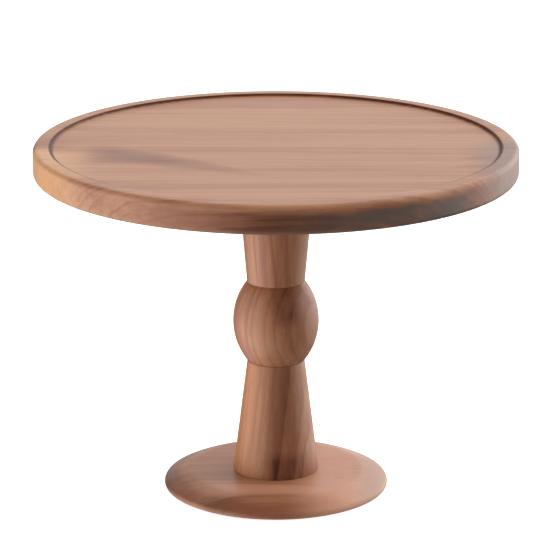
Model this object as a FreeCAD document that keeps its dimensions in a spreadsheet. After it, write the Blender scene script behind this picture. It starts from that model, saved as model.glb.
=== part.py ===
import FreeCAD, Part
import math
import os

import Sketcher

# A turned wooden pedestal cake stand in millimetres, standing on the XY plane
# and turned about the Z axis.  Every wooden piece comes off a lathe, and an M6
# tie rod through the stem clamps the base, the stem and the plate together.

DIMENSIONS = (
    # the plate: a board panel turned to a disc with a raised rim
    ("plate_radius", 150.0),
    ("plate_thickness", 17.9),
    ("plate_top_round", 3.3),
    ("plate_bottom_round", 3.0),
    ("rim_inner_radius", 139.6),
    ("recess_floor_radius", 136.4),
    ("recess_depth", 1.8),
    ("recess_cove_share", 0.75),
    ("glue_line_front", 68.0),
    ("glue_line_middle", 20.0),
    ("glue_line_back", 86.0),
    # the stem: three turned pieces stacked on the tie rod
    ("neck_height", 69.9),
    ("neck_top_radius", 24.2),
    ("neck_foot_radius", 18.1),
    ("ball_height", 51.2),
    ("ball_top_radius", 18.1),
    ("ball_foot_radius", 18.0),
    ("ball_arc_radius", 41.5),
    ("cone_height", 71.9),
    ("cone_top_radius", 18.0),
    ("cone_foot_radius", 26.9),
    ("spigot_radius", 10.0),
    ("spigot_length", 8.0),
    ("spigot_chamfer", 0.8),
    ("socket_clearance", 0.1),
    ("socket_end_gap", 0.4),
    ("rod_bore_radius", 3.5),
    # the base: a disc with a nearly flat top, a sloping shoulder and a rounded edge
    ("base_radius", 70.6),
    ("base_thickness", 10.3),
    ("base_seat_radius", 27.3),
    ("crease_radius", 54.3),
    ("crease_height", 9.9),
    ("shoulder_arc_radius", 70.0),
    ("shoulder_end_radius", 69.0),
    ("shoulder_end_height", 4.5),
    ("base_edge_round", 2.9),
    ("base_bottom_round", 1.9),
    ("counterbore_radius", 10.0),
    ("counterbore_depth", 7.1),
    ("foot_pocket_radius", 6.6),
    ("foot_pocket_depth", 1.2),
    # four rubber feet glued into shallow pockets
    ("foot_offset", 38.0),
    ("foot_radius", 6.35),
    ("foot_height", 1.8),
    ("foot_round", 0.5),
    # dowels that stop the pieces turning on each other
    ("dowel_radius", 2.5),
    ("dowel_chamfer", 0.5),
    ("dowel_clearance", 0.05),
    ("base_dowel_pitch_radius", 17.0),
    ("base_dowel_depth", 6.0),
    ("plate_dowel_pitch_radius", 18.2),
    ("plate_dowel_depth", 8.0),
    ("dowel_end_gap", 0.5),
    # the M6 tie rod and the hardware at its two ends
    ("rod_radius", 2.95),
    ("rod_chamfer", 0.6),
    ("rod_recess", 0.4),
    ("rod_engagement", 10.5),
    ("washer_radius", 9.0),
    ("washer_bore_radius", 3.2),
    ("washer_thickness", 1.6),
    ("spring_washer_radius", 5.4),
    ("spring_washer_bore_radius", 3.15),
    ("spring_washer_thickness", 1.6),
    ("spring_washer_slit", 1.0),
    ("spring_washer_slant", 0.7),
    ("nut_across_flats", 10.0),
    ("nut_height", 3.2),
    ("nut_chamfer_radius", 4.75),
    ("nut_chamfer_height", 0.62),
    ("thread_clearance", 0.05),
    ("insert_flange_radius", 13.0),
    ("insert_flange_thickness", 1.8),
    ("insert_barrel_radius", 4.6),
    ("insert_barrel_length", 11.6),
    ("insert_clearance", 0.1),
    ("insert_chamfer", 0.5),
    ("screw_pitch_radius", 9.1),
    ("screw_head_radius", 2.7),
    ("screw_head_height", 1.5),
    ("screw_shank_radius", 1.3),
    ("screw_length", 9.0),
    ("screw_point_length", 2.0),
    ("screw_clearance", 0.05),
    ("screw_slot_length", 1.5),
    ("screw_slot_width", 0.45),
    ("screw_slot_depth", 0.9),
)

SQUARE_ROOT_OF_THREE = math.sqrt(3.0)
SCREW_COUNT = 3
DOWEL_COUNT = 2
WASTE_MARGIN = 2.0
WASTE_REACH = 1.6


class Size:
    """A length that keeps both its formula on the sheet and its present value."""

    def __init__(self, formula, value):
        self.formula = formula
        self.value = value

    @staticmethod
    def wrap(other):
        if isinstance(other, Size):
            return other
        return Size(repr(float(other)), float(other))

    def combine(self, sign, other, value):
        return Size("(%s %s %s)" % (self.formula, sign, other.formula), value)

    def __add__(self, other):
        other = Size.wrap(other)
        return self.combine("+", other, self.value + other.value)

    def __sub__(self, other):
        other = Size.wrap(other)
        return self.combine("-", other, self.value - other.value)

    def __mul__(self, other):
        other = Size.wrap(other)
        return self.combine("*", other, self.value * other.value)

    def __truediv__(self, other):
        other = Size.wrap(other)
        return self.combine("/", other, self.value / other.value)

    def __neg__(self):
        return Size("(-1 * %s)" % self.formula, -self.value)


class Arc:
    """Marks the next side of an outline as an arc bulging left or right of its travel."""

    def __init__(self, radius, centre_on_left):
        self.radius = Size.wrap(radius)
        self.centre_on_left = centre_on_left


doc = FreeCAD.newDocument("CakeStand")
sheet = doc.addObject("Spreadsheet::Sheet", "Dimensions")
dim = {}
for row, (alias, value) in enumerate(DIMENSIONS, start=1):
    sheet.set("A%d" % row, alias)
    sheet.set("B%d" % row, str(value))
    sheet.setAlias("B%d" % row, alias)
    dim[alias] = Size("Dimensions." + alias, value)
doc.recompute()


# ---- sketches -----------------------------------------------------------------


def new_body(label, lift=None, shift_x=None, shift_y=None):
    body = doc.addObject("PartDesign::Body", label)
    body.Label = label
    for axis, amount in (("x", shift_x), ("y", shift_y), ("z", lift)):
        if amount is not None:
            body.setExpression("Placement.Base." + axis, amount.formula)
    return body


def new_sketch(body, name, role, offset_x=None, offset_z=None):
    sketch = body.newObject("Sketcher::SketchObject", body.Label + "_" + name)
    planes = [feature for feature in body.Origin.OriginFeatures if feature.Role == role]
    sketch.AttachmentSupport = [(planes[0], "")]
    sketch.MapMode = "FlatFace"
    if offset_x is not None:
        sketch.setExpression("AttachmentOffset.Base.x", offset_x.formula)
    if offset_z is not None:
        sketch.setExpression("AttachmentOffset.Base.z", offset_z.formula)
    return sketch


def fix_coordinate(sketch, kind, geometry, end, size, name):
    """Ties one coordinate of a point to the sketch origin, or to an axis when it is zero."""
    if size.value == 0.0:
        axis_line = -2 if kind == "DistanceX" else -1
        sketch.addConstraint(Sketcher.Constraint("PointOnObject", geometry, end, axis_line))
        return
    index = sketch.addConstraint(
        Sketcher.Constraint(kind, -1, 1, geometry, end, size.value)
    )
    sketch.renameConstraint(index, name)
    sketch.setExpression("Constraints." + name, size.formula)


def arc_through(start, end, radius, centre_on_left):
    """The shorter arc between two points, with the ends in the order the sketch keeps them."""
    chord_x = end[0] - start[0]
    chord_y = end[1] - start[1]
    chord = math.hypot(chord_x, chord_y)
    rise = math.sqrt(max(radius ** 2 - (chord / 2.0) ** 2, 0.0))
    side = 1.0 if centre_on_left else -1.0
    centre = FreeCAD.Vector(
        (start[0] + end[0]) / 2.0 - side * rise * chord_y / chord,
        (start[1] + end[1]) / 2.0 + side * rise * chord_x / chord,
        0.0,
    )
    first, last = (start, end) if centre_on_left else (end, start)
    circle = Part.Circle(centre, FreeCAD.Vector(0, 0, 1), radius)
    first_angle = math.atan2(first[1] - centre.y, first[0] - centre.x)
    last_angle = math.atan2(last[1] - centre.y, last[0] - centre.x)
    return Part.ArcOfCircle(circle, first_angle, last_angle)


def draw_outline(sketch, path):
    """Closes the path of (x, y) corners; an Arc before a corner bends the side that ends there."""
    corners = []
    bends = {}
    for step in path:
        if isinstance(step, Arc):
            bends[len(corners) - 1] = step
        else:
            corners.append((Size.wrap(step[0]), Size.wrap(step[1])))
    count = len(corners)
    start_end = []
    for index in range(count):
        here = (corners[index][0].value, corners[index][1].value)
        following = corners[(index + 1) % count]
        there = (following[0].value, following[1].value)
        bend = bends.get(index)
        if bend is None:
            side = Part.LineSegment(FreeCAD.Vector(*here, 0), FreeCAD.Vector(*there, 0))
            start_end.append((1, 2))
        else:
            side = arc_through(here, there, bend.radius.value, bend.centre_on_left)
            start_end.append((1, 2) if bend.centre_on_left else (2, 1))
        sketch.addGeometry(side, False)
    for index in range(count):
        following = (index + 1) % count
        sketch.addConstraint(
            Sketcher.Constraint(
                "Coincident", index, start_end[index][1], following, start_end[following][0]
            )
        )
    for index, (size_x, size_y) in enumerate(corners):
        point = start_end[index][0]
        fix_coordinate(sketch, "DistanceX", index, point, size_x, "x%d" % index)
        fix_coordinate(sketch, "DistanceY", index, point, size_y, "y%d" % index)
    for index, bend in bends.items():
        number = sketch.addConstraint(
            Sketcher.Constraint("Radius", index, bend.radius.value)
        )
        sketch.renameConstraint(number, "bend%d" % index)
        sketch.setExpression("Constraints.bend%d" % index, bend.radius.formula)


def draw_circles(sketch, circles):
    for number, (size_x, size_y, size_r) in enumerate(circles):
        centre_x, centre_y = Size.wrap(size_x), Size.wrap(size_y)
        radius = Size.wrap(size_r)
        centre = FreeCAD.Vector(centre_x.value, centre_y.value, 0)
        circle = Part.Circle(centre, FreeCAD.Vector(0, 0, 1), radius.value)
        index = sketch.addGeometry(circle, False)
        fix_coordinate(sketch, "DistanceX", index, 3, centre_x, "x%d" % number)
        fix_coordinate(sketch, "DistanceY", index, 3, centre_y, "y%d" % number)
        ring = sketch.addConstraint(Sketcher.Constraint("Radius", index, radius.value))
        sketch.renameConstraint(ring, "r%d" % number)
        sketch.setExpression("Constraints.r%d" % number, radius.formula)


# ---- features -----------------------------------------------------------------


def must_remove(body, feature, before):
    doc.recompute()
    if not body.Shape.Volume < before - 1e-3:
        raise RuntimeError("%s removes nothing from %s" % (feature.Name, body.Label))


def turn(body, name, path, offset_x=None):
    """Turns an outline about the upright line through the sketch origin."""
    sketch = new_sketch(body, name + "_outline", "XZ_Plane", offset_x=offset_x)
    draw_outline(sketch, path)
    feature = body.newObject("PartDesign::Revolution", body.Label + "_" + name)
    feature.Profile = sketch
    feature.ReferenceAxis = (sketch, ["V_Axis"])
    feature.Angle = 360.0
    doc.recompute()
    return feature


def turn_away(body, name, path, offset_x=None):
    """Turns waste away from the body, as a lathe tool or a countersink does."""
    before = body.Shape.Volume
    sketch = new_sketch(body, name + "_outline", "XZ_Plane", offset_x=offset_x)
    draw_outline(sketch, path)
    feature = body.newObject("PartDesign::Groove", body.Label + "_" + name)
    feature.Profile = sketch
    feature.ReferenceAxis = (sketch, ["V_Axis"])
    feature.Angle = 360.0
    must_remove(body, feature, before)
    return feature


def pad(body, name, path, height):
    sketch = new_sketch(body, name + "_outline", "XY_Plane")
    draw_outline(sketch, path)
    feature = body.newObject("PartDesign::Pad", body.Label + "_" + name)
    feature.Profile = sketch
    feature.setExpression("Length", height.formula)
    doc.recompute()
    return feature


def bore(body, name, circles, depth, level=None):
    """Drills round holes: up from the XY plane, or down from a given level."""
    before = body.Shape.Volume
    sketch = new_sketch(body, name + "_circles", "XY_Plane", offset_z=level)
    draw_circles(sketch, circles)
    feature = body.newObject("PartDesign::Pocket", body.Label + "_" + name)
    feature.Profile = sketch
    feature.setExpression("Length", depth.formula)
    feature.Reversed = level is None
    must_remove(body, feature, before)
    return feature


def repeat_around(body, name, features, count):
    """Repeats features round the Z axis of the body."""
    z_axis = [item for item in body.Origin.OriginFeatures if item.Role == "Z_Axis"][0]
    pattern = body.newObject("PartDesign::PolarPattern", body.Label + "_" + name)
    pattern.Originals = features
    pattern.Axis = (z_axis, [""])
    pattern.Angle = 360.0
    pattern.Occurrences = count
    body.Tip = pattern
    doc.recompute()
    return pattern


# ---- heights of the stacked pieces ----------------------------------------------

foot_projection = dim["foot_height"] - dim["foot_pocket_depth"]
base_level = foot_projection
cone_level = base_level + dim["base_thickness"]
ball_level = cone_level + dim["cone_height"]
neck_level = ball_level + dim["ball_height"]
plate_level = neck_level + dim["neck_height"]
counterbore_ceiling = base_level + dim["counterbore_depth"]


# ---- plate ------------------------------------------------------------------


def turned_edge_waste():
    """Everything outside the plate's rounded edge."""
    radius, thickness = dim["plate_radius"], dim["plate_thickness"]
    top, bottom = dim["plate_top_round"], dim["plate_bottom_round"]
    reach = radius * WASTE_REACH
    return (
        (radius - bottom, 0),
        Arc(bottom, True),
        (radius, bottom),
        (radius, thickness - top),
        Arc(top, True),
        (radius - top, thickness),
        (radius - top, thickness + WASTE_MARGIN),
        (reach, thickness + WASTE_MARGIN),
        (reach, -WASTE_MARGIN),
        (radius - bottom, -WASTE_MARGIN),
    )


def recess_waste():
    """The shallow dish inside the rim: a coved wall, its top edge eased with a bevel."""
    floor_radius, rim_radius = dim["recess_floor_radius"], dim["rim_inner_radius"]
    depth, share = dim["recess_depth"], dim["recess_cove_share"]
    run = rim_radius - floor_radius
    floor = dim["plate_thickness"] - depth
    cove = (run * run + depth * depth) / (depth * 2.0) * share
    return (
        (0, floor),
        (floor_radius, floor),
        Arc(cove, True),
        (floor_radius + run * share, floor + depth * share),
        (rim_radius, dim["plate_thickness"]),
        (rim_radius, dim["plate_thickness"] + WASTE_MARGIN),
        (0, dim["plate_thickness"] + WASTE_MARGIN),
    )


def make_plate_board(label, near_edge, far_edge):
    """One board of the panel, its grain along X, turned together with its neighbours."""
    board = new_body(label, lift=plate_level)
    half_length = dim["plate_radius"] + WASTE_MARGIN
    blank = (
        (-half_length, near_edge),
        (half_length, near_edge),
        (half_length, far_edge),
        (-half_length, far_edge),
    )
    pad(board, "blank", blank, dim["plate_thickness"])
    turn_away(board, "edge", turned_edge_waste())
    turn_away(board, "recess", recess_waste())
    return board


panel_half_width = dim["plate_radius"] + WASTE_MARGIN
make_plate_board("plate_board_front", -panel_half_width, -dim["glue_line_front"])
centre_board = make_plate_board(
    "plate_board_front_middle", -dim["glue_line_front"], dim["glue_line_middle"]
)
make_plate_board("plate_board_back_middle", dim["glue_line_middle"], dim["glue_line_back"])
make_plate_board("plate_board_back", dim["glue_line_back"], panel_half_width)

insert_gap = dim["insert_clearance"]
insert_pocket = (
    (0, -WASTE_MARGIN),
    (dim["insert_flange_radius"] + insert_gap, -WASTE_MARGIN),
    (dim["insert_flange_radius"] + insert_gap, dim["insert_flange_thickness"]),
    (dim["insert_barrel_radius"] + insert_gap, dim["insert_flange_thickness"]),
    (dim["insert_barrel_radius"] + insert_gap, dim["insert_barrel_length"] + insert_gap),
    (0, dim["insert_barrel_length"] + insert_gap),
)
turn_away(centre_board, "insert_pocket", insert_pocket)

dowel_hole_radius = dim["dowel_radius"] + dim["dowel_clearance"]
plate_dowel_holes = (
    (dim["plate_dowel_pitch_radius"], 0, dowel_hole_radius),
    (-dim["plate_dowel_pitch_radius"], 0, dowel_hole_radius),
)
bore(centre_board, "dowel_holes", plate_dowel_holes, dim["plate_dowel_depth"])

screw_hole_radius = dim["screw_shank_radius"] + dim["screw_clearance"]
screw_hole = (
    (0, dim["insert_flange_thickness"] - 0.5),
    (screw_hole_radius, dim["insert_flange_thickness"] - 0.5),
    (screw_hole_radius, dim["screw_length"] + dim["screw_clearance"]),
    (0, dim["screw_length"] + dim["screw_clearance"]),
)
pilot = turn_away(centre_board, "pilot_hole", screw_hole, offset_x=dim["screw_pitch_radius"])
repeat_around(centre_board, "pilot_holes", [pilot], SCREW_COUNT)


# ---- stem -------------------------------------------------------------------

spigot, spigot_length = dim["spigot_radius"], dim["spigot_length"]
spigot_chamfer = dim["spigot_chamfer"]
socket = spigot + dim["socket_clearance"]
socket_depth = spigot_length + dim["socket_end_gap"]
rod_bore = dim["rod_bore_radius"]

neck = new_body("stem_neck", lift=neck_level)
turn(
    neck,
    "turning",
    (
        (rod_bore, -spigot_length),
        (spigot - spigot_chamfer, -spigot_length),
        (spigot, spigot_chamfer - spigot_length),
        (spigot, 0),
        (dim["neck_foot_radius"], 0),
        (dim["neck_top_radius"], dim["neck_height"]),
        (rod_bore, dim["neck_height"]),
    ),
)
bore(neck, "dowel_holes", plate_dowel_holes, dim["plate_dowel_depth"], level=dim["neck_height"])

ball = new_body("stem_ball", lift=ball_level)
turn(
    ball,
    "turning",
    (
        (socket, 0),
        (dim["ball_foot_radius"], 0),
        Arc(dim["ball_arc_radius"], True),
        (dim["ball_top_radius"], dim["ball_height"]),
        (socket, dim["ball_height"]),
        (socket, dim["ball_height"] - socket_depth),
        (rod_bore, dim["ball_height"] - socket_depth),
        (rod_bore, socket_depth),
        (socket, socket_depth),
    ),
)

cone = new_body("stem_cone", lift=cone_level)
turn(
    cone,
    "turning",
    (
        (rod_bore, 0),
        (dim["cone_foot_radius"], 0),
        (dim["cone_top_radius"], dim["cone_height"]),
        (spigot, dim["cone_height"]),
        (spigot, dim["cone_height"] + spigot_length - spigot_chamfer),
        (spigot - spigot_chamfer, dim["cone_height"] + spigot_length),
        (rod_bore, dim["cone_height"] + spigot_length),
    ),
)
base_dowel_holes = (
    (dim["base_dowel_pitch_radius"], 0, dowel_hole_radius),
    (-dim["base_dowel_pitch_radius"], 0, dowel_hole_radius),
)
bore(cone, "dowel_holes", base_dowel_holes, dim["base_dowel_depth"])


# ---- base -------------------------------------------------------------------

base = new_body("base_disc", lift=base_level)
turn(
    base,
    "turning",
    (
        (rod_bore, dim["counterbore_depth"]),
        (dim["counterbore_radius"], dim["counterbore_depth"]),
        (dim["counterbore_radius"], 0),
        (dim["base_radius"] - dim["base_bottom_round"], 0),
        Arc(dim["base_bottom_round"], True),
        (dim["base_radius"], dim["base_bottom_round"]),
        Arc(dim["base_edge_round"], True),
        (dim["shoulder_end_radius"], dim["shoulder_end_height"]),
        Arc(dim["shoulder_arc_radius"], True),
        (dim["crease_radius"], dim["crease_height"]),
        (dim["base_seat_radius"], dim["base_thickness"]),
        (rod_bore, dim["base_thickness"]),
    ),
)
bore(base, "dowel_holes", base_dowel_holes, dim["base_dowel_depth"], level=dim["base_thickness"])
foot_corners = ((1, 1, "back_right"), (-1, 1, "back_left"),
                (-1, -1, "front_left"), (1, -1, "front_right"))
foot_pockets = []
for sign_x, sign_y, corner in foot_corners:
    pocket_x, pocket_y = dim["foot_offset"] * sign_x, dim["foot_offset"] * sign_y
    foot_pockets.append((pocket_x, pocket_y, dim["foot_pocket_radius"]))
bore(base, "foot_pockets", foot_pockets, dim["foot_pocket_depth"])

for sign_x, sign_y, corner in foot_corners:
    foot = new_body(
        "foot_" + corner,
        shift_x=dim["foot_offset"] * sign_x,
        shift_y=dim["foot_offset"] * sign_y,
    )
    turn(
        foot,
        "moulding",
        (
            (0, 0),
            (dim["foot_radius"] - dim["foot_round"], 0),
            Arc(dim["foot_round"], True),
            (dim["foot_radius"], dim["foot_round"]),
            (dim["foot_radius"], dim["foot_height"]),
            (0, dim["foot_height"]),
        ),
    )


# ---- dowels -----------------------------------------------------------------


def make_dowels(label, joint_level, pitch_radius, hole_depth):
    """A pair of chamfered dowels, half in the piece above the joint and half below."""
    dowels = new_body(label, lift=joint_level)
    half_length = hole_depth - dim["dowel_end_gap"]
    radius, chamfer = dim["dowel_radius"], dim["dowel_chamfer"]
    outline = (
        (0, -half_length),
        (radius - chamfer, -half_length),
        (radius, chamfer - half_length),
        (radius, half_length - chamfer),
        (radius - chamfer, half_length),
        (0, half_length),
    )
    dowel = turn(dowels, "pin", outline, offset_x=pitch_radius)
    repeat_around(dowels, "pair", [dowel], DOWEL_COUNT)


make_dowels("base_dowels", cone_level, dim["base_dowel_pitch_radius"], dim["base_dowel_depth"])
make_dowels("plate_dowels", plate_level, dim["plate_dowel_pitch_radius"], dim["plate_dowel_depth"])


# ---- tie rod, nut and washers -------------------------------------------------

rod_foot = base_level + dim["rod_recess"]
rod_length = plate_level - rod_foot + dim["rod_engagement"]
rod = new_body("tie_rod", lift=rod_foot)
rod_radius, rod_chamfer = dim["rod_radius"], dim["rod_chamfer"]
turn(
    rod,
    "shank",
    (
        (0, 0),
        (rod_radius - rod_chamfer, 0),
        (rod_radius, rod_chamfer),
        (rod_radius, rod_length - rod_chamfer),
        (rod_radius - rod_chamfer, rod_length),
        (0, rod_length),
    ),
)

washer_level = counterbore_ceiling - dim["washer_thickness"]
washer = new_body("flat_washer", lift=washer_level)
turn(
    washer,
    "ring",
    (
        (dim["washer_bore_radius"], 0),
        (dim["washer_radius"], 0),
        (dim["washer_radius"], dim["washer_thickness"]),
        (dim["washer_bore_radius"], dim["washer_thickness"]),
    ),
)

spring_level = washer_level - dim["spring_washer_thickness"]
spring = new_body("spring_washer", lift=spring_level)
turn(
    spring,
    "ring",
    (
        (dim["spring_washer_bore_radius"], 0),
        (dim["spring_washer_radius"], 0),
        (dim["spring_washer_radius"], dim["spring_washer_thickness"]),
        (dim["spring_washer_bore_radius"], dim["spring_washer_thickness"]),
    ),
)
slit_sketch = new_sketch(spring, "slit_outline", "YZ_Plane")
half_slit, slant = dim["spring_washer_slit"] / 2.0, dim["spring_washer_slant"]
slit_top = dim["spring_washer_thickness"]
draw_outline(
    slit_sketch,
    (
        (-half_slit - slant, 0),
        (half_slit - slant, 0),
        (half_slit + slant, slit_top),
        (-half_slit + slant, slit_top),
    ),
)
ring_volume = spring.Shape.Volume
slit = spring.newObject("PartDesign::Pocket", "spring_washer_slit")
slit.Profile = slit_sketch
slit.Reversed = True
slit.setExpression("Length", (dim["spring_washer_radius"] + 1.0).formula)
must_remove(spring, slit, ring_volume)

nut_level = spring_level - dim["nut_height"]
nut = new_body("hex_nut", lift=nut_level)
half_flats = dim["nut_across_flats"] / 2.0
corner_radius = dim["nut_across_flats"] / SQUARE_ROOT_OF_THREE
half_corner = corner_radius / 2.0
hexagon = (
    (corner_radius, 0),
    (half_corner, half_flats),
    (-half_corner, half_flats),
    (-corner_radius, 0),
    (-half_corner, -half_flats),
    (half_corner, -half_flats),
)
pad(nut, "hexagon", hexagon, dim["nut_height"])
thread_radius = rod_radius + dim["thread_clearance"]
bore(nut, "thread", ((0, 0, thread_radius),), dim["nut_height"])
chamfer_start, chamfer_rise = dim["nut_chamfer_radius"], dim["nut_chamfer_height"]
nut_chamfers = (
    ("lower_chamfer", Size.wrap(0), chamfer_rise),
    ("upper_chamfer", dim["nut_height"], -chamfer_rise),
)
for name, level, rise in nut_chamfers:
    turn_away(
        nut,
        name,
        (
            (chamfer_start, level),
            (corner_radius + 0.2, level),
            (corner_radius + 0.2, level + rise),
        ),
    )


# ---- threaded insert and its screws ---------------------------------------------

insert = new_body("threaded_insert", lift=plate_level)
insert_chamfer = dim["insert_chamfer"]
turn(
    insert,
    "turning",
    (
        (thread_radius, 0),
        (dim["insert_flange_radius"], 0),
        (dim["insert_flange_radius"], dim["insert_flange_thickness"]),
        (dim["insert_barrel_radius"], dim["insert_flange_thickness"]),
        (dim["insert_barrel_radius"], dim["insert_barrel_length"] - insert_chamfer),
        (dim["insert_barrel_radius"] - insert_chamfer, dim["insert_barrel_length"]),
        (thread_radius, dim["insert_barrel_length"]),
    ),
)
countersink_radius = dim["screw_head_radius"] + dim["screw_clearance"]
countersink = (
    (0, -WASTE_MARGIN),
    (countersink_radius, -WASTE_MARGIN),
    (countersink_radius, 0),
    (screw_hole_radius, dim["screw_head_height"]),
    (screw_hole_radius, dim["insert_flange_thickness"] + WASTE_MARGIN),
    (0, dim["insert_flange_thickness"] + WASTE_MARGIN),
)
sink = turn_away(insert, "countersink", countersink, offset_x=dim["screw_pitch_radius"])
repeat_around(insert, "countersinks", [sink], SCREW_COUNT)

screws = new_body("insert_screws", lift=plate_level)
screw = turn(
    screws,
    "screw",
    (
        (0, 0),
        (dim["screw_head_radius"], 0),
        (dim["screw_shank_radius"], dim["screw_head_height"]),
        (dim["screw_shank_radius"], dim["screw_length"] - dim["screw_point_length"]),
        (0, dim["screw_length"]),
    ),
    offset_x=dim["screw_pitch_radius"],
)
slot_long, slot_wide = dim["screw_slot_length"], dim["screw_slot_width"]
slot_features = [screw]
for name, half_x, half_y in (("slot_a", slot_long, slot_wide), ("slot_b", slot_wide, slot_long)):
    solid_volume = screws.Shape.Volume
    slot_sketch = new_sketch(screws, name + "_outline", "XY_Plane")
    pitch = dim["screw_pitch_radius"]
    draw_outline(
        slot_sketch,
        (
            (pitch - half_x, -half_y),
            (pitch + half_x, -half_y),
            (pitch + half_x, half_y),
            (pitch - half_x, half_y),
        ),
    )
    slot = screws.newObject("PartDesign::Pocket", "insert_screws_" + name)
    slot.Profile = slot_sketch
    slot.Reversed = True
    slot.setExpression("Length", dim["screw_slot_depth"].formula)
    must_remove(screws, slot, solid_volume)
    slot_features.append(slot)
repeat_around(screws, "screws", slot_features, SCREW_COUNT)


# ---- checks and export ------------------------------------------------------------

doc.recompute()
for item in doc.Objects:
    if "Invalid" in item.State or "Error" in item.State:
        raise RuntimeError("%s did not recompute: %s" % (item.Name, item.State))

os.makedirs("parts", exist_ok=True)
bodies = [item for item in doc.Objects if item.TypeId == "PartDesign::Body"]
for body in bodies:
    if body.Shape.isNull() or not body.Shape.isValid():
        raise RuntimeError("%s has no valid shape" % body.Label)
for body in bodies:
    body.Shape.exportStep(os.path.join("parts", body.Label + ".step"))
    box = body.Shape.BoundBox
    print(
        "%-26s solids %d  volume %9.1f mm3  z %.2f to %.2f"
        % (body.Label, len(body.Shape.Solids), body.Shape.Volume, box.ZMin, box.ZMax)
    )
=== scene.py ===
import math

import bmesh
import bpy
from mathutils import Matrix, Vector


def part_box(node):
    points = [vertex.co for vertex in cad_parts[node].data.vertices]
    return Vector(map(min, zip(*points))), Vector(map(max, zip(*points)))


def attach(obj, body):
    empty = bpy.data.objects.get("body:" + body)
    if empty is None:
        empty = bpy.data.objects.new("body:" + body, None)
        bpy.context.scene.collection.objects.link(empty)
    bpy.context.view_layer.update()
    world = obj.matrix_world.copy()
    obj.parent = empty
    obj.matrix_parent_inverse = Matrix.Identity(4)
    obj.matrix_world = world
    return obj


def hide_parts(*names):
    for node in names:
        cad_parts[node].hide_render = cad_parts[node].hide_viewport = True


MM = 0.001

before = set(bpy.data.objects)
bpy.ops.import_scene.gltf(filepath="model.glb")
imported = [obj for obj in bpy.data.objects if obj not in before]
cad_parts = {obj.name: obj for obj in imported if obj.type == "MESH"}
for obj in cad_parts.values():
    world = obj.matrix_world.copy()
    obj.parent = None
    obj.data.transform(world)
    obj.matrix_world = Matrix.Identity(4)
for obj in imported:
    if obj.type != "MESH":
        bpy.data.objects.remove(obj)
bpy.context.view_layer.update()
scene = bpy.context.scene


# ---- node helpers ---------------------------------------------------------------

# a Mix node has sockets for every type of data; these are the ones that mix colours
COLOUR_A, COLOUR_B, COLOUR_RESULT = 6, 7, 2


class Graph:
    """A material's node tree with short calls for the nodes that wood, metal and rubber need."""

    def __init__(self, name):
        self.material = bpy.data.materials.new(name)
        self.material.use_nodes = True
        self.tree = self.material.node_tree
        self.tree.nodes.clear()
        self.output = self.tree.nodes.new("ShaderNodeOutputMaterial")
        self.shader = self.tree.nodes.new("ShaderNodeBsdfPrincipled")
        self.link(self.shader.outputs["BSDF"], self.output.inputs["Surface"])

    def link(self, source, target):
        self.tree.links.new(source, target)

    def feed(self, socket, value):
        if isinstance(value, bpy.types.NodeSocket):
            self.link(value, socket)
        else:
            socket.default_value = value

    def math(self, operation, first, second=0.0, third=None):
        node = self.tree.nodes.new("ShaderNodeMath")
        node.operation = operation
        self.feed(node.inputs[0], first)
        self.feed(node.inputs[1], second)
        if third is not None:
            self.feed(node.inputs[2], third)
        return node.outputs[0]

    def vector(self, operation, first, second):
        node = self.tree.nodes.new("ShaderNodeVectorMath")
        node.operation = operation
        self.feed(node.inputs[0], first)
        self.feed(node.inputs[1], second)
        return node.outputs["Value" if operation == "LENGTH" else "Vector"]

    def position(self):
        """The point on the surface in millimetres."""
        coordinates = self.tree.nodes.new("ShaderNodeTexCoord").outputs["Object"]
        return self.vector("MULTIPLY", coordinates, (1.0 / MM, 1.0 / MM, 1.0 / MM))

    def split(self, vector):
        node = self.tree.nodes.new("ShaderNodeSeparateXYZ")
        self.feed(node.inputs[0], vector)
        return node.outputs[0], node.outputs[1], node.outputs[2]

    def join(self, x, y, z):
        node = self.tree.nodes.new("ShaderNodeCombineXYZ")
        for socket, value in zip(node.inputs, (x, y, z)):
            self.feed(socket, value)
        return node.outputs[0]

    def noise(self, vector, scale, detail=2.0, roughness=0.5):
        node = self.tree.nodes.new("ShaderNodeTexNoise")
        self.feed(node.inputs["Vector"], vector)
        self.feed(node.inputs["Scale"], scale)
        node.inputs["Detail"].default_value = detail
        node.inputs["Roughness"].default_value = roughness
        return node.outputs["Fac"]

    def ramp(self, value, low, high, to_low=0.0, to_high=1.0):
        """Maps low..high to to_low..to_high smoothly, and holds the ends outside it."""
        node = self.tree.nodes.new("ShaderNodeMapRange")
        node.interpolation_type = "SMOOTHSTEP"
        self.feed(node.inputs["Value"], value)
        for name, number in (("From Min", low), ("From Max", high), ("To Min", to_low), ("To Max", to_high)):
            self.feed(node.inputs[name], number)
        return node.outputs["Result"]

    def mix(self, factor, first, second):
        node = self.tree.nodes.new("ShaderNodeMix")
        node.data_type = "RGBA"
        self.feed(node.inputs["Factor"], factor)
        self.feed(node.inputs[COLOUR_A], first)
        self.feed(node.inputs[COLOUR_B], second)
        return node.outputs[COLOUR_RESULT]

    def bump(self, height, distance, strength):
        node = self.tree.nodes.new("ShaderNodeBump")
        node.inputs["Strength"].default_value = strength
        node.inputs["Distance"].default_value = distance
        self.feed(node.inputs["Height"], height)
        return node.outputs["Normal"]


def linear(red, green, blue):
    """An sRGB colour of 0 to 255 as linear RGBA."""
    parts = []
    for part in (red, green, blue):
        part = part / 255.0
        parts.append(part / 12.92 if part <= 0.04045 else ((part + 0.055) / 1.055) ** 2.4)
    return (*parts, 1.0)


# ---- wood -----------------------------------------------------------------------

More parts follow.
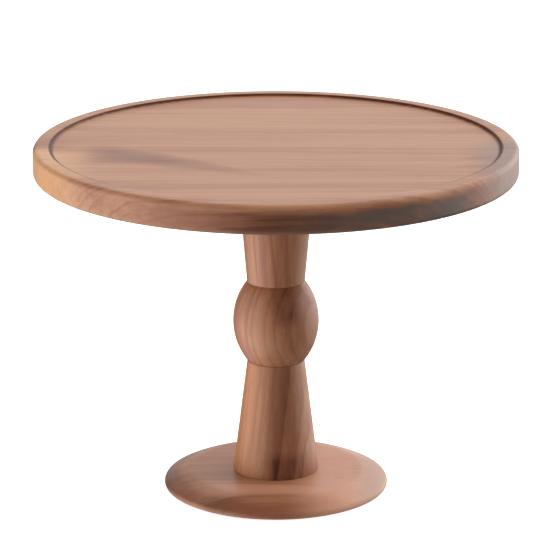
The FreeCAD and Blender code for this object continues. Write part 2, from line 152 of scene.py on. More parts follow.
WOOD_PALE = linear(176, 126, 92)
WOOD_MID = linear(149, 95, 69)
WOOD_DARK = linear(82, 46, 31)
WOOD_PORE = linear(48, 27, 18)
# painted light and sheen: the five colours below stand for light falling on the wood or a reflection in its
# lacquer, not for the wood's own colour
PAINTED_WARM_LIGHT = linear(196, 128, 76)
PAINTED_GREY_SHEEN = linear(100, 87, 80)
PAINTED_PALE_LIGHT = linear(216, 163, 116)
PAINTED_ROSE_LIGHT = linear(210, 156, 128)
PAINTED_SILVER_SHEEN = linear(138, 122, 112)
LACQUER_ROUGHNESS = 0.36
LACQUER_IOR = 1.4
COAT = 0.08
COAT_ROUGHNESS = 0.28
SPECULAR = 0.36
GRAIN_RELIEF = 0.06 * MM
ANYWHERE = 1000.0  # a limit (mm) beyond every piece, for marks that have no limit on that side


def wood(
    name, grain, pith, lean=0.0, seed=0.0, ring_width=5.0, ring_depth=0.3, tone=0.0,
    figures=(), tints=(), heart_tints=(), overlay=None,
):
    """Satin-lacquered wood.  grain is the axis the fibres run along, pith the two offsets (mm) of
    the tree's centre from the origin, lean how much the pith climbs per mm of length, ring_depth how
    much darker a ring's late edge is.  Each figure is a function that takes the graph, x, y and z in
    mm and the strands' noise, and returns how much darker the wood is there; tints and heart_tints
    hold such functions, each with the colour that it brings into the pale wood or the dark
    heartwood; the last argument is a figure of painted shade that darkens the wood and dulls its
    sheen.  Some figures and the tints given to this function are painted shade, painted light or a
    painted sheen rather than the wood's own colour."""
    g = Graph(name)
    x, y, z = g.split(g.position())
    across, up, along = (y, z, x) if grain == "X" else (x, y, z)

    # slow waves of the fibres, drawn out along the grain
    slow = g.join(across, up, g.math("MULTIPLY_ADD", along, 0.16, seed * 37.0))
    wave = g.math("MULTIPLY_ADD", g.noise(slow, 0.022, 2.0), 16.0, -8.0)
    ripple = g.math("MULTIPLY_ADD", g.noise(slow, 0.09, 2.0), 3.0, -1.5)
    side = g.math("ADD", g.math("SUBTRACT", across, pith[0]), g.math("ADD", wave, ripple))
    rise = g.math("SUBTRACT", g.math("SUBTRACT", up, pith[1]), g.math("MULTIPLY", along, lean))
    rise = g.math("ADD", rise, g.math("MULTIPLY", wave, 0.6))
    radius = g.vector("LENGTH", g.join(side, rise, 0.0), (0.0, 0.0, 0.0))

    # growth rings of uneven width: a slow darkening and a sharp late edge
    uneven = g.noise(g.join(g.math("MULTIPLY", radius, 0.11), seed, 0.0), 1.0, 2.0)
    count = g.math("ADD", g.math("DIVIDE", radius, ring_width), g.math("MULTIPLY", uneven, 2.6))
    phase = g.math("FRACT", count)
    late = g.math("MULTIPLY", g.ramp(phase, 0.25, 0.92), g.ramp(phase, 1.0, 0.93))
    each_ring = g.noise(g.join(g.math("FLOOR", count), seed, 3.0), 0.7, 0.0)
    late = g.math("MULTIPLY", late, g.ramp(each_ring, 0.3, 0.7, 0.25, 1.0))

    # fibres and broad bands of colour
    fine = g.join(across, up, g.math("MULTIPLY_ADD", along, 0.035, seed * 11.0))
    fibre = g.noise(fine, 1.1, 4.0, 0.62)
    strand = g.noise(fine, 0.28, 3.0, 0.55)
    broad = g.join(across, up, g.math("MULTIPLY_ADD", along, 0.06, seed * 23.0))
    band = g.noise(broad, 0.055, 2.0, 0.5)

    # how dark the wood is: its tone, its rings, then its bands, strands, fibres and marks, some of them
    # painted shade
    shade = g.math("MULTIPLY_ADD", late, ring_depth, tone)
    shade = g.math("ADD", shade, g.math("MULTIPLY_ADD", band, 0.6, -0.12))
    shade = g.math("ADD", shade, g.math("MULTIPLY_ADD", strand, 0.4, -0.2))
    shade = g.math("ADD", shade, g.math("MULTIPLY_ADD", fibre, 0.3, -0.15))
    for figure in figures + ((overlay,) if overlay else ()):
        shade = g.math("ADD", shade, figure(g, x, y, z, strand))

    # open pores, thin dark dashes on long grain and dots on end grain
    pore_place = g.join(across, up, g.math("MULTIPLY_ADD", along, 0.045, seed * 5.0))
    pore = g.ramp(g.noise(pore_place, 2.6, 1.0, 0.4), 0.69, 0.76)
    pore = g.math("MULTIPLY", pore, g.ramp(phase, 0.75, 0.15, 0.25, 1.0))

    # the colour runs from pale through middle brown to heartwood as the shade rises
    colour = g.mix(g.ramp(shade, 0.0, 0.5), WOOD_PALE, WOOD_MID)
    # the tints lay painted light and painted sheen into the colour
    for figure, tint in tints:
        colour = g.mix(figure(g, x, y, z, strand), colour, tint)
    heart = WOOD_DARK
    for figure, tint in heart_tints:
        heart = g.mix(figure(g, x, y, z, strand), heart, tint)
    colour = g.mix(g.ramp(shade, 0.42, 1.05), colour, heart)
    colour = g.mix(g.math("MULTIPLY", pore, 0.5), colour, WOOD_PORE)

    g.feed(g.shader.inputs["Base Color"], colour)
    rough_map = g.math("MULTIPLY_ADD", fibre, 0.12, LACQUER_ROUGHNESS - 0.06)
    g.feed(g.shader.inputs["Roughness"], g.math("MULTIPLY_ADD", pore, 0.18, rough_map))
    g.shader.inputs["IOR"].default_value = LACQUER_IOR
    g.shader.inputs["Coat Weight"].default_value = COAT
    g.shader.inputs["Coat Roughness"].default_value = COAT_ROUGHNESS
    g.shader.inputs["Specular IOR Level"].default_value = SPECULAR
    # the last argument's painted shade also lowers the coat and the specular where it lies
    if overlay:
        sheen = g.math("MULTIPLY_ADD", overlay(g, x, y, z, strand), -1.0, 1.0)
        g.feed(g.shader.inputs["Coat Weight"], g.math("MULTIPLY", sheen, COAT))
        g.feed(g.shader.inputs["Specular IOR Level"], g.math("MULTIPLY", sheen, SPECULAR))
    relief = g.math("SUBTRACT", g.math("MULTIPLY", fibre, 0.35), pore)
    g.feed(g.shader.inputs["Normal"], g.bump(relief, GRAIN_RELIEF, 0.5))
    return g.material


def painted_shade_sheet(centre_x, inner, outer, low, high, strength):
    """Painted shade: a dark upright sheet in the front half, where the turned piece faces away from the
    lights, full within inner mm of its middle and gone at outer.
    """
    def figure(g, x, y, z, strand):
        sway = g.math("MULTIPLY_ADD", g.noise(g.join(0.0, 0.0, z), 0.03, 2.0), 8.0, centre_x - 4.0)
        away = g.math("ABSOLUTE", g.math("SUBTRACT", x, sway))
        mask = g.math("MULTIPLY", g.ramp(away, outer, inner), g.ramp(y, -2.0, -12.0))
        mask = g.math("MULTIPLY", mask, g.ramp(z, low - 5.0, low + 5.0))
        mask = g.math("MULTIPLY", mask, g.ramp(z, high + 5.0, high - 5.0))
        return g.math("MULTIPLY", mask, strength)
    return figure


def low_layer(top, bottom, left, full_left, full_right, right, strength, inner=-ANYWHERE):
    """A layer below the height top, full below bottom, that fades out at both ends along X and,
    over the 45 mm outside the radius inner, towards the axis."""
    def figure(g, x, y, z, strand):
        slow = g.noise(g.join(g.math("MULTIPLY", x, 0.4), y, 0.0), 0.05, 2.0)
        waver = g.math("MULTIPLY_ADD", slow, 3.0, -1.5)
        mask = g.ramp(g.math("ADD", z, waver), top, bottom)
        mask = g.math("MULTIPLY", mask, g.ramp(x, left, full_left))
        mask = g.math("MULTIPLY", mask, g.ramp(x, right, full_right))
        radius = g.vector("LENGTH", g.join(x, y, 0.0), (0, 0, 0))
        return g.math("MULTIPLY", mask, g.ramp(radius, inner, inner + 45.0, 0.0, strength))
    return figure


def streak(start, end, bend, half_width, strength, lowest=-ANYWHERE):
    """A long lens above the height lowest, from start to end (x, y), widest near its start and
    ragged along its sides."""
    def figure(g, x, y, z, strand):
        share = g.math("DIVIDE", g.math("SUBTRACT", x, start[0]), end[0] - start[0])
        run = g.math("MAXIMUM", share, 0.0)
        middle = g.math("MULTIPLY_ADD", g.math("POWER", run, bend), end[1] - start[1], start[1])
        half = g.math("MAXIMUM", g.math("MULTIPLY_ADD", run, -0.85 * half_width, half_width), 0.5)
        away = g.math("DIVIDE", g.math("ABSOLUTE", g.math("SUBTRACT", y, middle)), half)
        away = g.math("ADD", away, g.math("MULTIPLY_ADD", strand, 1.1, -0.55))
        mask = g.math("MULTIPLY", g.ramp(away, 1.1, 0.25), g.ramp(share, -0.12, 0.14))
        mask = g.math("MULTIPLY", mask, g.ramp(share, 1.0, 0.3))
        return g.math("MULTIPLY", mask, g.ramp(z, lowest - 4.0, lowest, 0.0, strength))
    return figure


def painted_shade_ring(inner, peak, outer, lowest, strength):
    """Painted shade: a dark turned line about the axis above the height lowest, in the corner of the
    recess where shade falls, weaker towards the front."""
    def figure(g, x, y, z, strand):
        radius = g.vector("LENGTH", g.join(x, y, 0.0), (0, 0, 0))
        mask = g.math("MULTIPLY", g.ramp(radius, inner, peak), g.ramp(radius, outer, peak))
        mask = g.math("MULTIPLY", mask, g.ramp(z, lowest - 2.0, lowest))
        return g.math("MULTIPLY", mask, g.ramp(y, -120.0, -80.0, 0.1 * strength, strength))
    return figure


def end_mark(start, full, strength, edge=ANYWHERE, lowest=-ANYWHERE):
    """A mark that grows along X from start to full, fades out across the last 25 mm of Y before
    edge, and is found only above the height lowest."""
    def figure(g, x, y, z, strand):
        mask = g.ramp(g.math("MULTIPLY_ADD", strand, 14.0, x), start, full)
        mask = g.math("MULTIPLY", mask, g.ramp(z, lowest - 1.0, lowest))
        return g.math("MULTIPLY", mask, g.ramp(y, edge, edge - 25.0, 0.0, strength))
    return figure


# ---- metal and rubber -----------------------------------------------------------


def metal(name, colour, rough, seed):
    """Machined metal with fine lines about the Z axis and a cloudy tarnish."""
    g = Graph(name)
    place = g.position()
    x, y, z = g.split(place)
    lines = g.join(g.math("MULTIPLY", x, 0.3), g.math("MULTIPLY", y, 0.3), g.math("ADD", z, seed))
    brushed = g.noise(lines, 3.0, 3.0)
    cloud = g.noise(place, 0.5, 3.0)
    tarnish = tuple(part * 0.62 for part in colour[:3]) + (1.0,)
    g.feed(g.shader.inputs["Base Color"], g.mix(g.ramp(cloud, 0.45, 0.8, 0.0, 0.55), colour, tarnish))
    g.shader.inputs["Metallic"].default_value = 1.0
    g.feed(g.shader.inputs["Roughness"], g.math("MULTIPLY_ADD", brushed, 0.22, rough - 0.1))
    g.feed(g.shader.inputs["Normal"], g.bump(brushed, 0.00004, 0.35))
    return g.material


def threaded_metal(name, colour, rough, pitch):
    """Metal whose bump follows a helical thread of the given pitch (mm) about the Z axis."""
    g = Graph(name)
    place = g.position()
    x, y, z = g.split(place)
    turn = g.math("DIVIDE", g.math("ARCTAN2", y, x), 2.0 * math.pi)
    phase = g.math("FRACT", g.math("ADD", g.math("DIVIDE", z, pitch), turn))
    ridge = g.math("ABSOLUTE", g.math("MULTIPLY_ADD", phase, 2.0, -1.0))
    # painted shade: the colour is darker in the thread's valleys
    dark = tuple(part * 0.35 for part in colour[:3]) + (1.0,)
    g.feed(g.shader.inputs["Base Color"], g.mix(g.ramp(ridge, 0.45, 0.1), colour, dark))
    g.shader.inputs["Metallic"].default_value = 1.0
    g.feed(g.shader.inputs["Roughness"], g.math("MULTIPLY_ADD", g.noise(place, 1.2, 3.0), 0.2, rough - 0.1))
    g.feed(g.shader.inputs["Normal"], g.bump(ridge, 0.0004, 0.8))
    return g.material


def rubber(name):
    """Gritty black rubber with some dust on it."""
    g = Graph(name)
    place = g.position()
    grit = g.noise(place, 3.5, 4.0, 0.6)
    overlay = g.ramp(g.noise(place, 0.35, 3.0), 0.5, 0.75)
    colour = g.mix(g.math("MULTIPLY", overlay, 0.35), linear(34, 33, 33), linear(96, 92, 88))
    g.feed(g.shader.inputs["Base Color"], colour)
    g.feed(g.shader.inputs["Roughness"], g.math("MULTIPLY_ADD", grit, 0.25, 0.55))
    g.feed(g.shader.inputs["Normal"], g.bump(grit, 0.00008, 0.6))
    return g.material


# ---- turned meshes ----------------------------------------------------------------

TURN_STEPS = 256
PLATE_TURN_STEPS = 384


def rounded(corners, steps=5):
    """An outline of (radius, height, fillet) corners with each corner rounded by its fillet."""
    outline = []
    count = len(corners)
    for index, (radius, height, fillet) in enumerate(corners):
        here = Vector((radius, height))
        if fillet <= 0.0:
            outline.append(here)
            continue
        before = Vector(corners[(index - 1) % count][:2]) - here
        after = Vector(corners[(index + 1) % count][:2]) - here
        half_angle = before.angle(after) / 2.0
        reach = fillet / math.tan(half_angle)
        start, end = here + before.normalized() * reach, here + after.normalized() * reach
        halfway = (before.normalized() + after.normalized()).normalized()
        centre = here + halfway * (fillet / math.sin(half_angle))
        first, last = start - centre, end - centre
        sweep = first.angle_signed(last)
        for step in range(steps + 1):
            angle = -sweep * step / steps
            cosine, sine = math.cos(angle), math.sin(angle)
            turned = Vector((first.x * cosine - first.y * sine, first.x * sine + first.y * cosine))
            outline.append(centre + turned)
    return outline


def arc_between(start, end, radius, steps):
    """Points strictly between two (radius, height) points on an arc that bulges outwards."""
    start, end = Vector(start), Vector(end)
    chord = end - start
    rise = math.sqrt(radius ** 2 - (chord.length / 2.0) ** 2)
    normal = Vector((-chord.y, chord.x)).normalized()
    centre = (start + end) / 2.0 + normal * rise
    first = math.atan2(start.y - centre.y, start.x - centre.x)
    last = math.atan2(end.y - centre.y, end.x - centre.x)
    return [
        centre + Vector((math.cos(a), math.sin(a))) * radius
        for a in (first + (last - first) * step / steps for step in range(1, steps))
    ]


def densify(outline, longest):
    """Splits long straight runs, so the turned mesh has even faces."""
    dense = []
    for index, point in enumerate(outline):
        following = outline[(index + 1) % len(outline)]
        pieces = max(1, math.ceil((following - point).length / longest))
        dense.extend(point.lerp(following, step / pieces) for step in range(pieces))
    return dense


def lathe(outline, steps=TURN_STEPS):
    """Turns a closed outline of (radius, height) in metres about the Z axis; radius 0 is a pole."""
    mesh_builder = bmesh.new()
    rings = []
    for point in outline:
        if point.x < 1e-7:
            rings.append([mesh_builder.verts.new((0.0, 0.0, point.y))])
            continue
        rings.append([
            mesh_builder.verts.new((
                point.x * math.cos(2.0 * math.pi * step / steps),
                point.x * math.sin(2.0 * math.pi * step / steps),
                point.y,
            ))
            for step in range(steps)
        ])
    count = len(rings)
    for index in range(count):
        lower, upper = rings[index], rings[(index + 1) % count]
        if len(lower) == 1 and len(upper) == 1:
            continue
        for step in range(steps):
            following = (step + 1) % steps
            if len(lower) == 1:
                mesh_builder.faces.new((lower[0], upper[following], upper[step]))
            elif len(upper) == 1:
                mesh_builder.faces.new((lower[step], lower[following], upper[0]))
            else:
                mesh_builder.faces.new((lower[step], lower[following], upper[following], upper[step]))
    bmesh.ops.recalc_face_normals(mesh_builder, faces=mesh_builder.faces)
    return mesh_builder


def finish_mesh(name, mesh_builder, material, node, smooth_angle=30.0):
    """Makes the piece that stands in for a CAD node."""
    mesh = bpy.data.meshes.new(name)
    mesh_builder.to_mesh(mesh)
    mesh_builder.free()
    mesh.shade_smooth()
    mesh.set_sharp_from_angle(angle=math.radians(smooth_angle))
    mesh.materials.append(material)
    piece = bpy.data.objects.new(name, mesh)
    scene.collection.objects.link(piece)
    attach(piece, "root")
    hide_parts(node)
    return piece


# ---- the wooden pieces ---------------------------------------------------------------

EASE = 0.5 * MM
BORE = 3.5 * MM
SPIGOT = 10.0 * MM
SPIGOT_LENGTH = 8.0 * MM
SPIGOT_ROUND = 0.8 * MM
SOCKET = 10.1 * MM
SOCKET_DEPTH = 8.4 * MM
NECK_TOP_RADIUS = 24.2 * MM
NECK_FOOT_RADIUS = 18.1 * MM
BALL_TOP_RADIUS = 18.1 * MM
BALL_FOOT_RADIUS = 18.0 * MM
BALL_ARC = 41.5 * MM
BALL_LIP = 0.35 * MM
CONE_TOP_RADIUS = 18.0 * MM
CONE_FOOT_RADIUS = 26.9 * MM
CONE_FOOT_ROUND = 0.35 * MM
BASE_RADIUS = 70.6 * MM
BASE_BOTTOM_ROUND = 1.9 * MM
BASE_EDGE_ROUND = 2.9 * MM
BASE_SEAT_RADIUS = 27.3 * MM
SHOULDER_END_RADIUS = 69.0 * MM
SHOULDER_END_HEIGHT = 4.5 * MM
SHOULDER_ARC = 70.0 * MM
CREASE_RADIUS = 54.3 * MM
CREASE_HEIGHT = 9.9 * MM
COUNTERBORE = 10.0 * MM
COUNTERBORE_DEPTH = 7.1 * MM
PLATE_RADIUS = 150.0 * MM
PLATE_BOTTOM_ROUND = 3.0 * MM
PLATE_TOP_ROUND = 3.3 * MM
RIM_INNER = 139.6 * MM
FLOOR_RADIUS = 136.4 * MM
RECESS = 1.8 * MM
COVE_SHARE = 0.75

neck_low, neck_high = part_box("stem_neck")
ball_low, ball_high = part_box("stem_ball")
cone_low, cone_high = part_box("stem_cone")
base_low, base_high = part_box("base_disc")
plate_low, plate_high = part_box("plate_board_front_middle")

# marks in the stem and the base, all in mm: painted shade down the stem's front and at the cone's foot,
# painted warm light on the cone's left, painted shade on the base's shoulder, painted light on its front and
# right top, and a painted highlight and sheen on its rim
stem_wood = dict(grain="Z", pith=(-46.0, 18.0), ring_width=5.5, ring_depth=0.26)
# painted shade: dark sheets down the middle of the stem's front half, where it faces away from the lights,
# and a painted shadow at the cone's foot
neck_painted_shade = painted_shade_sheet(5.0, 2.0, 8.0, 134.0, 210.0, 0.13)
ball_painted_shade = painted_shade_sheet(5.5, 3.0, 11.0, 113.0, 150.0, 0.35)
cone_painted_shade = painted_shade_sheet(5.0, 3.0, 11.0, 5.0, 90.0, 0.18)
cone_foot_painted_shade = painted_shade_sheet(8.0, 8.0, 18.0, 0.0, 26.0, 0.32)
neck_wood = wood("neck_wood", seed=1.0, figures=(neck_painted_shade,), **stem_wood)
ball_wood = wood("ball_wood", seed=2.0, tone=0.04, figures=(ball_painted_shade,), **stem_wood)
# painted light: a warmer, paler colour on the cone's left side, where the left light falls
cone_left_painted_light = end_mark(4.0, -12.0, 0.45)
cone_wood = wood(
    "cone_wood", seed=3.0, tone=0.02,
    figures=(cone_painted_shade, cone_foot_painted_shade),
    tints=((cone_left_painted_light, PAINTED_WARM_LIGHT),),
    **stem_wood,
)
# painted shade: darker on the base's sloping shoulder at the left and front, where it faces away from the
# lights
base_shoulder_painted_shade = low_layer(9.6, 7.0, -200.0, -190.0, 10.0, 48.0, 0.35)
# painted light: a paler rose colour on the base's front and right top, where the high front-right light
# falls
base_front_painted_light = streak((-44.0, -38.0), (72.0, -48.0), 1.0, 17.0, 0.75)
base_right_painted_light = end_mark(8.0, 44.0, 0.75)
# painted highlight in silver on the base's right rim, and a painted grey sheen on its left rim
base_right_painted_highlight = end_mark(52.0, 70.0, 0.45)
base_left_painted_sheen = end_mark(-50.0, -68.0, 0.5)
base_wood = wood(
    "base_wood", "X", (130.0, -60.0), lean=0.03, seed=4.0, ring_width=4.5, ring_depth=0.12,
    figures=(base_shoulder_painted_shade,),
    tints=(
        (base_front_painted_light, PAINTED_ROSE_LIGHT),
        (base_right_painted_light, PAINTED_ROSE_LIGHT),
        (base_right_painted_highlight, PAINTED_SILVER_SHEEN),
        (base_left_painted_sheen, PAINTED_GREY_SHEEN),
    ),
)

neck_foot_z = neck_low[2] + SPIGOT_LENGTH
cone_top_z = cone_high[2] - SPIGOT_LENGTH

neck_outline = rounded((
    (BORE, neck_low[2], 0.0),
    (SPIGOT, neck_low[2], SPIGOT_ROUND),
    (SPIGOT, neck_foot_z, 0.0),
    (NECK_FOOT_RADIUS, neck_foot_z, EASE),
    (NECK_TOP_RADIUS, neck_high[2], EASE),
    (BORE, neck_high[2], 0.0),
))
finish_mesh("neck", lathe(densify(neck_outline, 3.0 * MM)), neck_wood, "stem_neck")

ball_foot, ball_top = (BALL_FOOT_RADIUS, ball_low[2]), (BALL_TOP_RADIUS, ball_high[2])
ball_outline = [
    Vector((SOCKET, ball_low[2])),
    Vector((BALL_FOOT_RADIUS - BALL_LIP, ball_low[2])),
    *arc_between(ball_foot, ball_top, BALL_ARC, 40),
    Vector((BALL_TOP_RADIUS - BALL_LIP, ball_high[2])),
    Vector((SOCKET, ball_high[2])),
    Vector((SOCKET, ball_high[2] - SOCKET_DEPTH)),
    Vector((BORE, ball_high[2] - SOCKET_DEPTH)),
    Vector((BORE, ball_low[2] + SOCKET_DEPTH)),
    Vector((SOCKET, ball_low[2] + SOCKET_DEPTH)),
]
finish_mesh("ball", lathe(densify(ball_outline, 3.0 * MM)), ball_wood, "stem_ball")

cone_outline = rounded((
    (BORE, cone_low[2], 0.0),
    (CONE_FOOT_RADIUS, cone_low[2], CONE_FOOT_ROUND),
    (CONE_TOP_RADIUS, cone_top_z, EASE),
    (SPIGOT, cone_top_z, 0.0),
    (SPIGOT, cone_high[2], SPIGOT_ROUND),
    (BORE, cone_high[2], 0.0),
))
finish_mesh("cone", lathe(densify(cone_outline, 3.0 * MM)), cone_wood, "stem_cone")

base_z = base_low[2]
counterbore_z = base_z + COUNTERBORE_DEPTH
bottom_round = (BASE_RADIUS - BASE_BOTTOM_ROUND, base_z)
edge_foot = (BASE_RADIUS, base_z + BASE_BOTTOM_ROUND)
shoulder_end = (SHOULDER_END_RADIUS, base_z + SHOULDER_END_HEIGHT)
crease = (CREASE_RADIUS, base_z + CREASE_HEIGHT)
base_outline = [
    Vector((BORE, counterbore_z)),
    Vector((COUNTERBORE, counterbore_z)),
    Vector((COUNTERBORE, base_z)),
    Vector(bottom_round),
    *arc_between(bottom_round, edge_foot, BASE_BOTTOM_ROUND, 8),
    Vector(edge_foot),
    *arc_between(edge_foot, shoulder_end, BASE_EDGE_ROUND, 8),
    Vector(shoulder_end),
    *arc_between(shoulder_end, crease, SHOULDER_ARC, 20),
    Vector(crease),
    Vector((BASE_SEAT_RADIUS, base_high[2])),
    Vector((BORE, base_high[2])),
]
finish_mesh("base", lathe(densify(base_outline, 4.0 * MM)), base_wood, "base_disc", 40.0)

# the plate is turned whole, then parted at the glue lines
top_z, under_z = plate_high[2], plate_low[2]
floor_z = top_z - RECESS
cove_run = RIM_INNER - FLOOR_RADIUS
cove_end = (FLOOR_RADIUS + cove_run * COVE_SHARE, floor_z + RECESS * COVE_SHARE)
cove_radius = (cove_run ** 2 + RECESS ** 2) / (2.0 * RECESS) * COVE_SHARE
lip_radius = cove_radius / COVE_SHARE - cove_radius


def cove_between(start, end, radius, steps):
    """Like arc_between, with the hollow on the other side."""
    return list(reversed(arc_between(end, start, radius, steps)))


under_round = (PLATE_RADIUS - PLATE_BOTTOM_ROUND, under_z)
edge_foot = (PLATE_RADIUS, under_z + PLATE_BOTTOM_ROUND)
edge_head = (PLATE_RADIUS, top_z - PLATE_TOP_ROUND)
upper_round = (PLATE_RADIUS - PLATE_TOP_ROUND, top_z)
rim_edge = (RIM_INNER, top_z)
floor_edge = (FLOOR_RADIUS, floor_z)
plate_outline = [
    Vector((0.0, under_z)),
    Vector(under_round),
    *arc_between(under_round, edge_foot, PLATE_BOTTOM_ROUND, 8),
    Vector(edge_foot),
    Vector(edge_head),
    *arc_between(edge_head, upper_round, PLATE_TOP_ROUND, 10),
    Vector(upper_round),
    Vector(rim_edge),
    *arc_between(rim_edge, cove_end, lip_radius, 4),
    Vector(cove_end),
    *cove_between(cove_end, floor_edge, cove_radius, 8),
    Vector(floor_edge),
    Vector((0.0, floor_z)),
]

# marks in the plate, all in mm: a darker band low along the front edge, a lens, painted light on the left
# end, a painted grey sheen on the front edge and right end, and painted shade in the cove
dark_layer = low_layer(219.0, 214.8, -100.0, 6.0, 100.0, 140.0, 0.68, 102.0)
lens = streak((-112.0, -20.0), (4.0, -80.0), 1.4, 27.0, 0.5, 212.0)
right_dash = streak((134.0, -26.0), (104.0, -34.0), 1.0, 9.0, 0.25, 212.0)
right_tail = streak((132.0, -48.0), (100.0, -52.0), 1.0, 5.0, 0.25, 212.0)
# painted shade: a dark line in the cove of the recess, which also dulls the sheen there
cove_painted_shade = painted_shade_ring(136.2, 139.0, 140.8, 218.0, 0.85)
# painted light: a paler colour on the plate's front left end, where the left light falls
left_end_painted_light = end_mark(-96.0, -140.0, 0.75, 0.0)
# painted sheen: a grey reflection painted on the front edge's right part and a silver one on the right end
front_edge_painted_sheen = low_layer(221.0, 218.5, -10.0, 60.0, 150.0, 170.0, 0.9)
right_end_painted_sheen = end_mark(122.0, 146.0, 0.65, 22.0)
rim_right = end_mark(118.0, 140.0, 0.34, 22.0, 220.5)
rim_left = end_mark(-110.0, -140.0, 0.34, 22.0, 220.5)
front_painted_tints = dict(
    tints=((left_end_painted_light, PAINTED_PALE_LIGHT), (right_end_painted_sheen, PAINTED_SILVER_SHEEN)),
    heart_tints=((front_edge_painted_sheen, PAINTED_GREY_SHEEN),),
)
boards = (
    ("plate_board_front", dict(
        pith=(-190.0, 120.0), seed=11.0, lean=0.05,
        figures=(lens, dark_layer, rim_left, rim_right), **front_painted_tints)),
    ("plate_board_front_middle", dict(
        pith=(-150.0, 130.0), seed=12.0, lean=-0.04,
        figures=(lens, right_dash, right_tail, rim_left, rim_right), **front_painted_tints)),
    ("plate_board_back_middle", dict(pith=(170.0, 140.0), seed=13.0, tone=-0.03, lean=0.04)),
    ("plate_board_back", dict(pith=(230.0, 130.0), seed=14.0, tone=-0.03, lean=-0.05)),
)
for node, wood_facts in boards:
    low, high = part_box(node)
    board = lathe(densify(plate_outline, 5.0 * MM), PLATE_TURN_STEPS)
    for level, side in ((low[1], -1.0), (high[1], 1.0)):
        if abs(level) > PLATE_RADIUS - 1.0 * MM:
            continue  # the board's outer edge, which the turning has made
        everything = list(board.verts) + list(board.edges) + list(board.faces)
        cut = bmesh.ops.bisect_plane(
            board,
            geom=everything,
            dist=1e-7,
            plane_co=(0.0, level, 0.0),
            plane_no=(0.0, side, 0.0),
            clear_outer=True,
        )
        rim = [item for item in cut["geom_cut"] if isinstance(item, bmesh.types.BMEdge)]
        bmesh.ops.triangle_fill(board, use_beauty=True, edges=rim)
    bmesh.ops.recalc_face_normals(board, faces=board.faces)
    # every board takes the cove's painted shade
    board_wood = wood(node + "_wood", "X", ring_depth=0.16, overlay=cove_painted_shade, **wood_facts)
    finish_mesh(node.replace("plate_board", "board"), board, board_wood, node)


# ---- the pieces that keep their CAD mesh --------------------------------------------

zinc = metal("zinc_plate", linear(196, 198, 202), 0.34, 0.0)
zinc_thread = threaded_metal("zinc_thread", linear(190, 192, 196), 0.36, 1.0)
brass = metal("turned_brass", linear(208, 172, 104), 0.36, 5.0)
beech = wood("beech_dowel", "Z", (30.0, 10.0), seed=21.0, ring_width=2.5, tone=-0.4)
black_rubber = rubber("foot_rubber_black")
kept = {
    "tie_rod": zinc_thread,
    "hex_nut": zinc,
    "flat_washer": zinc,
    "spring_washer": zinc,
    "insert_screws": zinc,
    "threaded_insert": brass,
    "base_dowels": beech,
    "plate_dowels": beech,
    "foot_front_left": black_rubber,
    "foot_front_right": black_rubber,
    "foot_back_left": black_rubber,
    "foot_back_right": black_rubber,
}
for node, material in kept.items():
    for material_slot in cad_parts[node].material_slots:
        material_slot.material = material


# ---- floor, light and camera -----------------------------------------------------------


def level_square(name, height, half_side, material):
    mesh = bpy.data.meshes.new(name)
    corners = [(x * half_side, y * half_side, height) for x, y in ((-1, -1), (1, -1), (1, 1), (-1, 1))]
    mesh.from_pydata(corners, [], [(0, 1, 2, 3)])
    mesh.materials.append(material)
    item = bpy.data.objects.new(name, mesh)
    scene.collection.objects.link(item)
    return item


def floor_material():
    g = Graph("pale_floor")
    cloud = g.noise(g.position(), 0.004, 2.0)
    g.feed(g.shader.inputs["Base Color"], g.mix(cloud, (0.88, 0.88, 0.88, 1.0), (0.93, 0.93, 0.93, 1.0)))
    g.shader.inputs["Roughness"].default_value = 0.7
    g.shader.inputs["Emission Color"].default_value = (1.0, 1.0, 1.0, 1.0)
    g.shader.inputs["Emission Strength"].default_value = 0.75
    return g.material


FLOOR_HEIGHT = -0.2 * MM
FLOOR_HALF_SIDE = 12.0
floor = level_square("floor", FLOOR_HEIGHT, FLOOR_HALF_SIDE, floor_material())
floor.visible_diffuse = False
floor.visible_glossy = False


# the studio: a faint even glow and large soft lights far away.  Each has its elevation, its azimuth
# from the camera towards +X, its half width, all in degrees, and its brightness at the middle
ROOM_GLOW = 0.16
LEFT_WINDOW = (-5.0, 285.0, 60.0, 2.2)
RIGHT_WINDOW = (20.0, 110.0, 60.0, 2.4)
OVERHEAD = (75.0, 150.0, 60.0, 1.0)
BACKDROP = (15.0, 165.0, 50.0, 0.8)
FLOOR_BOUNCE = (-55.0, 290.0, 60.0, 1.6)


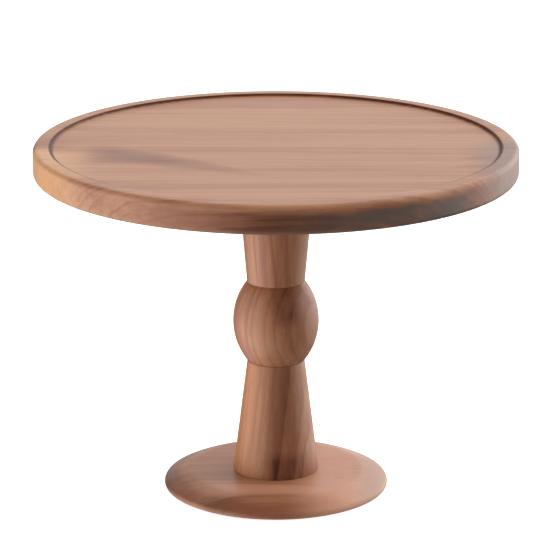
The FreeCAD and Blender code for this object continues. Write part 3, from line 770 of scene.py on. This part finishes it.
def soft_light(tree, direction, elevation, azimuth, half_width, strength):
    """The brightness that one round light adds in a direction: full in its middle, none at its rim."""
    climb, turn = math.radians(elevation), math.radians(azimuth)
    toward = (math.cos(climb) * math.sin(turn), -math.cos(climb) * math.cos(turn), math.sin(climb))
    dot = tree.nodes.new("ShaderNodeVectorMath")
    dot.operation = "DOT_PRODUCT"
    tree.links.new(direction, dot.inputs[0])
    dot.inputs[1].default_value = toward
    falloff = tree.nodes.new("ShaderNodeMapRange")
    falloff.interpolation_type = "SMOOTHSTEP"
    tree.links.new(dot.outputs["Value"], falloff.inputs["Value"])
    limits = (math.cos(math.radians(half_width)), 1.0, 0.0, strength)
    for name, number in zip(("From Min", "From Max", "To Min", "To Max"), limits):
        falloff.inputs[name].default_value = number
    return falloff.outputs["Result"]


def studio_world(glow, lights):
    """A plain white room of one faint brightness, with soft lights in it."""
    room = bpy.data.worlds.new("studio")
    room.use_nodes = True
    tree = room.node_tree
    background = tree.nodes["Background"]
    background.inputs["Color"].default_value = (1.0, 1.0, 1.0, 1.0)
    direction = tree.nodes.new("ShaderNodeTexCoord").outputs["Generated"]
    total = None
    for light in lights:
        add = tree.nodes.new("ShaderNodeMath")
        tree.links.new(soft_light(tree, direction, *light), add.inputs[0])
        if total is None:
            add.inputs[1].default_value = glow
        else:
            tree.links.new(total, add.inputs[1])
        total = add.outputs[0]
    tree.links.new(total, background.inputs["Strength"])
    return room


scene.world = studio_world(ROOM_GLOW, (LEFT_WINDOW, RIGHT_WINDOW, OVERHEAD, BACKDROP, FLOOR_BOUNCE))

PITCH = math.radians(16.08)
DISTANCE = 2.0
AIM_HEIGHT = 0.1375
LENS = 209.7
camera_data = bpy.data.cameras.new("camera")
camera = bpy.data.objects.new("camera", camera_data)
scene.collection.objects.link(camera)
camera_data.sensor_width = 36.0
camera_data.lens = LENS
camera_data.shift_x = -0.0018
camera.location = (0.0, -DISTANCE * math.cos(PITCH), AIM_HEIGHT + DISTANCE * math.sin(PITCH))
camera.rotation_euler = (math.pi / 2.0 - PITCH, 0.0, 0.0)
scene.camera = camera

scene.view_settings.view_transform = "Standard"
scene.view_settings.look = "None"
scene.view_settings.exposure = 0.0
scene.view_settings.gamma = 1.0
